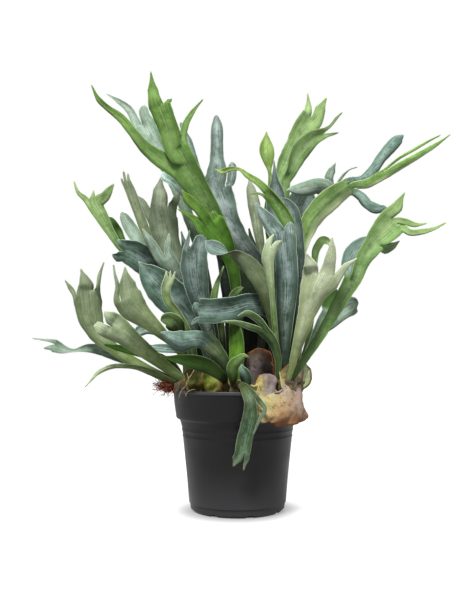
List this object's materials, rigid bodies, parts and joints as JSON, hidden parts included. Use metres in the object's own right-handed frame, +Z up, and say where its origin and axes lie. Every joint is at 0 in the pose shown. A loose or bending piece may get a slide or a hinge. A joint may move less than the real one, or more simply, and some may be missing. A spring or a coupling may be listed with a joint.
{
  "type": "staghorn fern",
  "caption": "Potted staghorn fern: forked strap fronds in blue-grey and green on creeping rhizomes, with papery shield fronds, in a plain black nursery pot.",
  "frame": {"origin": "middle of the pot's flat underside", "axes": "+Z up, -Y towards the side that the picture shows, +X to its right"},
  "size_m": [0.5373, 0.3247, 0.5799],
  "materials": {
    "pot_plastic": "satin, finely moulded",
    "growing_mix": "bark chips and peat",
    "rhizome": "scaly and fibrous",
    "frond_blue": "blue-grey felt over green",
    "frond_pale": "olive felted underside",
    "frond_green": "fresh green, thinly felted",
    "shield_papery": "dry and papery",
    "shield_fresh": "young shield, matt"
  },
  "bodies": {
    "root": {"pot": "pot_plastic", "growing_mix": "growing_mix", "rhizome_left": "rhizome", "rhizome_right": "rhizome", "rhizome_middle": "rhizome", "frond_top_left": "frond_green", "frond_top_left_pale": "frond_blue", "frond_great_blue": "frond_blue", "frond_curled_ribbon": "frond_green", "frond_right_blue": "frond_blue", "frond_right_edge": "frond_blue", "frond_pale_paddle": "frond_pale", "frond_young_bud": "frond_green", "frond_thin_spike": "frond_blue", "frond_top_right": "frond_green", "frond_right_olive": "frond_pale", "frond_right_fold": "frond_blue", "frond_right_antler": "frond_green", "frond_right_white": "frond_pale", "frond_right_round": "frond_blue", "frond_right_young": "frond_pale", "frond_middle_arch": "frond_pale", "frond_cross_blade": "frond_blue", "frond_cross_stem": "frond_pale", "frond_centre_bright": "frond_green", "frond_left_grey": "frond_pale", "frond_under_top_left": "frond_blue", "frond_left_twist": "frond_blue", "frond_left_small_blue": "frond_blue", "frond_left_bright": "frond_green", "frond_left_dark": "frond_blue", "frond_left_wide": "frond_blue", "frond_left_tongue": "frond_pale", "frond_left_upright": "frond_blue", "frond_small_crest": "frond_green", "frond_folded_pale": "frond_pale", "frond_left_inner": "frond_blue", "frond_centre_young": "frond_green", "frond_right_curl": "frond_green", "frond_left_tall": "frond_pale", "frond_left_rolled": "frond_pale", "frond_left_leaf": "frond_green", "frond_left_low": "frond_blue", "frond_left_droop": "frond_pale", "frond_left_narrow": "frond_pale", "frond_low_dark": "frond_green", "frond_centre_strip": "frond_green", "frond_centre_curl": "frond_pale", "frond_centre_short": "frond_blue", "frond_hanging": "frond_blue", "frond_back_left": "frond_blue", "frond_back_middle": "frond_blue", "frond_back_right": "frond_blue", "frond_back_low": "frond_blue", "shield_front": "shield_papery", "shield_back": "shield_papery", "shield_lime": "shield_fresh", "shield_left": "shield_fresh", "shield_centre": "shield_fresh"}
  },
  "joints": []
}
